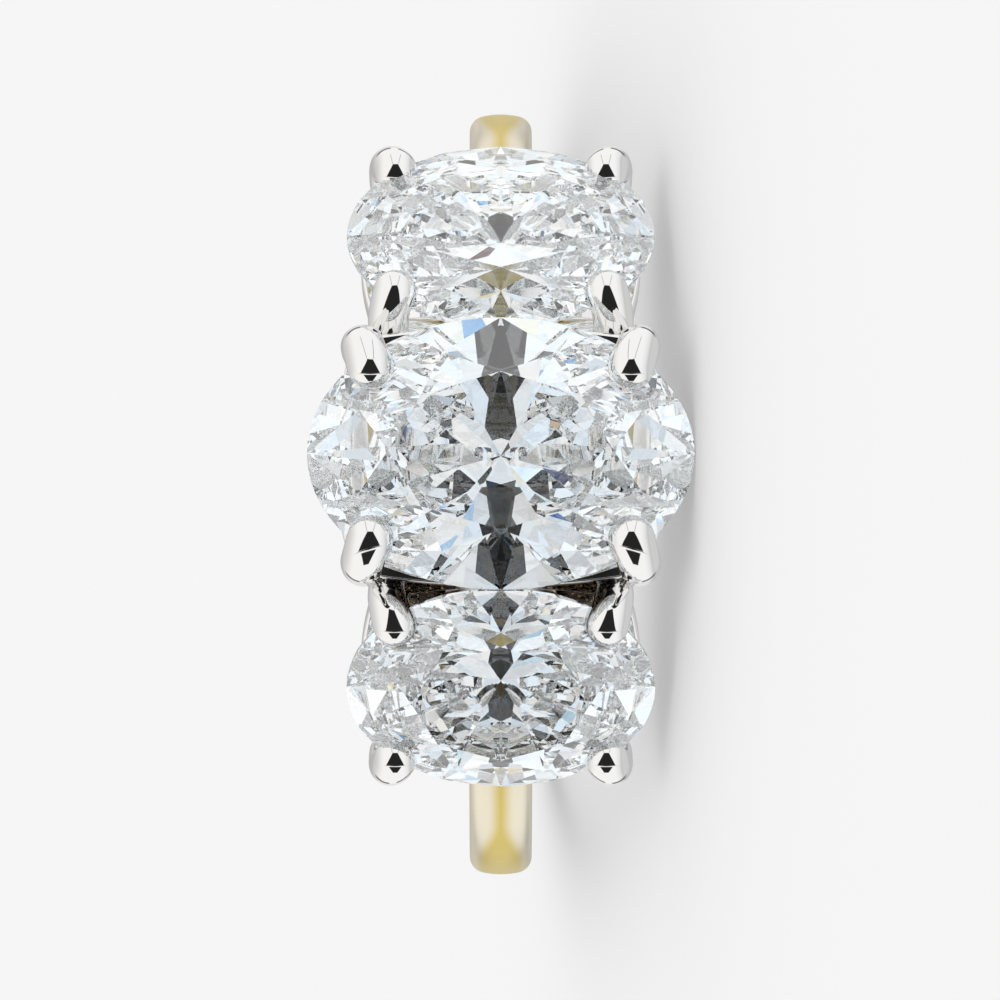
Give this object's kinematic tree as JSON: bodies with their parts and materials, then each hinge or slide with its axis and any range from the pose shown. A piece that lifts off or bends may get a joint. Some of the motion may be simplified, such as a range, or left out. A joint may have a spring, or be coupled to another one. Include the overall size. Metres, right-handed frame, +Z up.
{
  "type": "three stone ring",
  "caption": "Finger ring with a domed yellow gold band under a white gold claw head that holds a large oval brilliant between two smaller ones.",
  "frame": {"origin": "middle of the footprint of the ring as it lies on its side, at the height of the surface that it rests on", "axes": "+Z up, close to the finger's direction; -Y out from the finger hole through the middle of the head; +X across the head, round the ring"},
  "size_m": [0.0196, 0.0248, 0.0095],
  "materials": {
    "yellow_gold": "18 carat yellow gold with a soft, fine-brushed polish",
    "white_gold": "mirror-polished white gold",
    "diamond": "clear faceted diamond"
  },
  "bodies": {
    "root": {"shank": "yellow_gold", "setting": "white_gold", "centre_stone": "diamond", "side_stone_a": "diamond", "side_stone_b": "diamond"}
  },
  "joints": []
}
